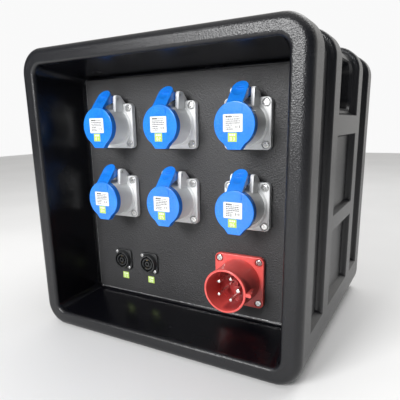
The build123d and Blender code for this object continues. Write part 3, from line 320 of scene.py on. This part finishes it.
def shroud_shade_mask(graph):
    """One inside the inlet's shroud, behind its rim, and nought elsewhere: where the painted shade goes."""
    low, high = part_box("inlet_pins")
    across = graph.maths("SUBTRACT", graph.axis("X"), (low[0] + high[0]) / 2)
    rise = graph.maths("SUBTRACT", graph.axis("Z"), (low[2] + high[2]) / 2)
    squares = graph.maths("ADD", graph.maths("MULTIPLY", across, across), graph.maths("MULTIPLY", rise, rise))
    reach = graph.maths("SQRT", squares)
    near = graph.span(reach, SHROUD_RADIUS, SHROUD_RADIUS + SHROUD_SOFT, 1.0, 0.0)
    return graph.maths("MULTIPLY", near, graph.span(graph.axis("Y"), *SHROUD_DEPTH))


def plastic_material(name, dark, light, roughness, bump=0.15, scatter=0.0, coat=0.0, shroud_shade=None):
    """Moulded plastic with slight colour drift, fine surface grain and faint handling marks; given a shade
    colour, painted shade inside the inlet's shroud.
    """
    graph = Graph(name)
    broad = graph.noise(40.0, 3.0)
    grain = graph.noise(1800.0, 2.0)
    marks = graph.noise(220.0, 4.0, 0.7, graph.stretched((1.0, 1.0, 0.2)))
    colour = graph.mix(graph.span(broad, 0.3, 0.7), dark, light)
    if shroud_shade:
        # Painted shade: a darker colour inside the inlet's shroud.
        colour = graph.mix(shroud_shade_mask(graph), colour, shroud_shade)
    graph.feed("Base Color", colour)
    low, high = roughness
    wear_and_edge_highlight = graph.maths("MULTIPLY", graph.span(marks, 0.6, 0.75), 0.12)
    graph.feed("Roughness", graph.maths("ADD", graph.span(grain, 0.3, 0.7, low, high), wear_and_edge_highlight))
    graph.bump((grain, bump, 0.0002), (broad, bump, 0.0006))
    if scatter:
        graph.shader.inputs["Subsurface Weight"].default_value = scatter
        graph.shader.inputs["Subsurface Radius"].default_value = (0.6, 0.6, 0.6)
        graph.shader.inputs["Subsurface Scale"].default_value = 0.002
    if coat:
        graph.shader.inputs["Coat Weight"].default_value = coat
        graph.shader.inputs["Coat Roughness"].default_value = 0.12
    return graph.material


def label_material():
    """White rating film, and the yellow-green film of the number tag below it."""
    graph = Graph("label_film")
    fibre = graph.noise(900.0, 3.0)
    white = graph.mix(graph.span(fibre, 0.3, 0.7), rgb(0.74, 0.745, 0.75), rgb(0.80, 0.805, 0.81))
    green = graph.mix(graph.span(fibre, 0.3, 0.7), rgb(0.42, 0.60, 0.08), rgb(0.48, 0.66, 0.10))
    masks = []
    for first_of_row in (1, 4):
        low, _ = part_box(f"lid_labels_{first_of_row}")
        beyond = past(graph, "Z", low[2] + TAG_HEIGHT / 2, TAG_HEIGHT / 2)
        masks.append(graph.maths("LESS_THAN", beyond, 0.0))
    graph.feed("Base Color", graph.mix(graph.maths("MAXIMUM", *masks), white, green))
    graph.feed("Roughness", graph.span(fibre, 0.3, 0.7, 0.34, 0.46))
    graph.bump((fibre, 0.05, 0.0001))
    return graph.material


def ink_material(name, dark, light):
    """Printed ink with slightly uneven cover."""
    graph = Graph(name)
    cover = graph.noise(2400.0, 2.0)
    graph.feed("Base Color", graph.mix(graph.span(cover, 0.3, 0.7), dark, light))
    graph.feed("Roughness", graph.span(cover, 0.3, 0.7, 0.45, 0.6))
    return graph.material


def metal_material(name, dark, light, roughness):
    """Plated or machined metal with fine lines and a little tarnish."""
    graph = Graph(name, Metallic=1.0)
    tarnish = graph.noise(160.0, 4.0)
    lines = graph.noise(900.0, 3.0, 0.6, graph.stretched((1.0, 0.15, 6.0)))
    graph.feed("Base Color", graph.mix(graph.span(tarnish, 0.35, 0.7), dark, light))
    low, high = roughness
    graph.feed("Roughness", graph.span(lines, 0.3, 0.7, low, high))
    graph.bump((lines, 0.12, 0.0001))
    return graph.material


def make_materials():
    """One material for each slot of the record."""
    plastic, metal = plastic_material, metal_material
    red = (rgb(0.74, 0.095, 0.085), rgb(0.82, 0.12, 0.105))
    green = (rgb(0.26, 0.5, 0.05), rgb(0.32, 0.56, 0.07))
    grey = (rgb(0.80, 0.81, 0.81), rgb(0.86, 0.87, 0.87))
    blue = (rgb(0.008, 0.19, 0.74), rgb(0.014, 0.23, 0.82))
    link = (rgb(0.016, 0.017, 0.018), rgb(0.026, 0.027, 0.028))
    sheath = (rgb(0.02, 0.02, 0.02), rgb(0.032, 0.032, 0.032))
    return {
        "case": case_material(),
        "panel": panel_material(),
        "label": label_material(),
        "housing": plastic("housing_grey", *grey, (0.3, 0.4), 0.12, 0.1),
        "insert": plastic("insert_blue", rgb(0.02, 0.10, 0.36), rgb(0.03, 0.13, 0.44), (0.4, 0.5)),
        "lid": plastic("lid_blue", *blue, (0.22, 0.32), 0.1, 0.15, 0.3),
        "tag": plastic("tag_film", rgb(0.46, 0.66, 0.12), rgb(0.52, 0.72, 0.15), (0.35, 0.45), 0.05),
        # The last colour is painted shade inside the inlet's shroud.
        "inlet": plastic("inlet_red", *red, (0.3, 0.4), 0.12, 0.12, 0.15, rgb(0.36, 0.03, 0.03)),
        "link": plastic("link_black", *link, (0.32, 0.44), 0.2),
        "gasket": plastic("gasket_rubber", rgb(0.02, 0.02, 0.02), rgb(0.03, 0.03, 0.03), (0.6, 0.75), 0.25),
        "terminal": plastic("terminal_grey", rgb(0.40, 0.42, 0.41), rgb(0.46, 0.48, 0.47), (0.42, 0.52)),
        "earth_terminal": plastic("terminal_green", *green, (0.42, 0.52)),
        "cable": plastic("cable_sheath", *sheath, (0.5, 0.62), 0.2),
        "wire": plastic("wire_insulation", rgb(0.16, 0.06, 0.025), rgb(0.2, 0.08, 0.035), (0.4, 0.5)),
        "pin": metal("pin_plating", rgb(0.78, 0.77, 0.72), rgb(0.86, 0.85, 0.82), (0.16, 0.3)),
        "screw": metal("screw_plating", rgb(0.66, 0.66, 0.65), rgb(0.78, 0.78, 0.77), (0.2, 0.34)),
        "steel": metal("zinc_steel", rgb(0.52, 0.52, 0.51), rgb(0.66, 0.66, 0.65), (0.3, 0.45)),
        "brass": metal("contact_brass", rgb(0.66, 0.46, 0.18), rgb(0.78, 0.58, 0.26), (0.24, 0.38)),
    }


def dress_nodes(materials):
    """Gives every CAD node the material of its slot."""
    for row in frame["record"]["subparts"]:
        piece = NODES[row["node"]]
        piece.data.materials.clear()
        piece.data.materials.append(materials[row["material_slot"]])


# ---- printed marks ----
TAG_HEIGHT = 11 * MM
INK = 0.06 * MM
DIGIT = (2.7 * MM, 4.4 * MM, 0.75 * MM)
PRINT_HALF_WIDTH = 9.5 * MM
HEADING_RISE = 7.6 * MM
HEADING_HEIGHT = 2.1 * MM
HEADING_GAP = 0.35
TAIL_INDENT = 0.8
TAIL_DROP = 0.3
TAIL_GAP = 0.45
TAIL_HEIGHT = 0.8 * MM
HEADING_WORD = (2.6, 1.4, 2.2, 1.2)
HEADING_TAIL = (1.6, 1.1, 1.9, 1.3, 0.9)
PRINT_ROWS = 6
LONG_ROWS = 3
FIRST_ROW = 4.6
ROW_PITCH = 2.35
DASH_HEIGHT = 1.15 * MM
SHORTEST_DASH = 0.8 * MM
CORNER_MARKS = ((1.0, 3.2), (0.5, 2.4), (1.0, 3.2))
RATING_MIDDLE_DROP = 10.5 * MM
TAG_OFFSET = 0.5 * MM
LINK_TAG_HALF = 6 * MM
LINK_NUMBERS = (7, 8)
FIRST_SEED = 40
SEGMENTS = ("abcdef", "bc", "abged", "abgcd", "fgbc", "afgcd", "afgedc", "abc", "abcdefg")


def make_blocks(name, blocks, face_y, body, material):
    """Thin closed blocks of ink standing on a face that looks forwards: (x, z, width, height)."""
    work = bmesh.new()
    for x, z, width, height in blocks:
        size = Matrix.Diagonal((width, INK, height, 1.0))
        bmesh.ops.create_cube(work, size=1.0, matrix=Matrix.Translation((x, face_y - INK / 2, z)) @ size)
    mesh = bpy.data.meshes.new(name)
    work.to_mesh(mesh)
    work.free()
    piece = bpy.data.objects.new(name, mesh)
    bpy.context.scene.collection.objects.link(piece)
    mesh.materials.append(material)
    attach(piece, body)


def digit_blocks(number, x, z, width, height, stroke):
    """Seven-segment numeral centred on (x, z)."""
    gap = stroke * 0.12
    bar = width - 2 * stroke - 2 * gap
    post = height / 2 - 1.5 * stroke - 2 * gap
    side = (width - stroke) / 2
    level = (height - stroke) / 2
    places = {
        "a": (0, level, bar, stroke),
        "g": (0, 0, bar, stroke),
        "d": (0, -level, bar, stroke),
        "b": (side, level / 2, stroke, post + stroke),
        "c": (side, -level / 2, stroke, post + stroke),
        "f": (-side, level / 2, stroke, post + stroke),
        "e": (-side, -level / 2, stroke, post + stroke),
    }
    return [(x + places[s][0], z + places[s][1], places[s][2], places[s][3]) for s in SEGMENTS[number]]


def rating_blocks(x, z, chance):
    """Rows of short dashes that stand for the small print of a rating label, centred on (x, z)."""
    blocks = []
    heading = z + HEADING_RISE
    cursor = x - PRINT_HALF_WIDTH
    for width in HEADING_WORD:
        blocks.append((cursor + width * MM / 2, heading, width * MM, HEADING_HEIGHT))
        cursor += (width + HEADING_GAP) * MM
    for width in HEADING_TAIL:
        middle = cursor + (width / 2 + TAIL_INDENT) * MM
        blocks.append((middle, heading - TAIL_DROP * MM, width * MM, TAIL_HEIGHT))
        cursor += (width + TAIL_GAP) * MM
    for row in range(PRINT_ROWS):
        level = z + (FIRST_ROW - ROW_PITCH * row) * MM
        cursor = x - PRINT_HALF_WIDTH
        short_end = row >= LONG_ROWS
        end = x + (chance.uniform(-1.5, 1.0) * MM if short_end else PRINT_HALF_WIDTH)
        while cursor < end - SHORTEST_DASH:
            width = min(chance.uniform(0.7, 2.6) * MM, end - cursor)
            blocks.append((cursor + width / 2, level, width, DASH_HEIGHT))
            cursor += width + chance.uniform(0.35, 0.7) * MM
    for step, (width, height) in enumerate(CORNER_MARKS):
        blocks.append((x + (4.4 + 2.2 * step) * MM, z - 4.6 * MM, width * MM, height * MM))
    return blocks


def tag_blocks(number, x, z):
    """The print of a number tag: three blocks over a two-figure number, centred on (x, z)."""
    blocks = [(x + step * 2.9 * MM, z + 2.9 * MM, 2.1 * MM, 2.2 * MM) for step in (-1, 0, 1)]
    for side, figure in ((-1, 0), (1, number)):
        blocks += digit_blocks(figure, x + side * 1.9 * MM, z - 1.9 * MM, *DIGIT)
    return blocks


def make_prints():
    """Print on the six rating labels, on the six tags below them and on the two tags of the links."""
    small_print = ink_material("small_print", rgb(0.05, 0.05, 0.052), rgb(0.09, 0.09, 0.092))
    tag_print = ink_material("tag_print", rgb(0.86, 0.9, 0.78), rgb(0.92, 0.95, 0.86))
    for number in range(1, 7):
        low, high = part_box(f"lid_labels_{number}")
        middle = (low[0] + high[0]) / 2
        chance = random.Random(FIRST_SEED + number)
        body = f"lid_{number}_body"
        blocks = rating_blocks(middle, high[2] - RATING_MIDDLE_DROP, chance)
        make_blocks(f"label_print_{number}", blocks, low[1], body, small_print)
        blocks = tag_blocks(number, middle - TAG_OFFSET, low[2] + TAG_HEIGHT / 2)
        make_blocks(f"tag_print_{number}", blocks, low[1], body, tag_print)
    low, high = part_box("link_tags")
    blocks = []
    for number, x in zip(LINK_NUMBERS, (low[0] + LINK_TAG_HALF, high[0] - LINK_TAG_HALF)):
        blocks += tag_blocks(number, x, (low[2] + high[2]) / 2)
    make_blocks("link_tag_print", blocks, low[1], "box", tag_print)


make_camera()
make_studio()
MATERIALS = make_materials()
dress_nodes(MATERIALS)
make_prints()
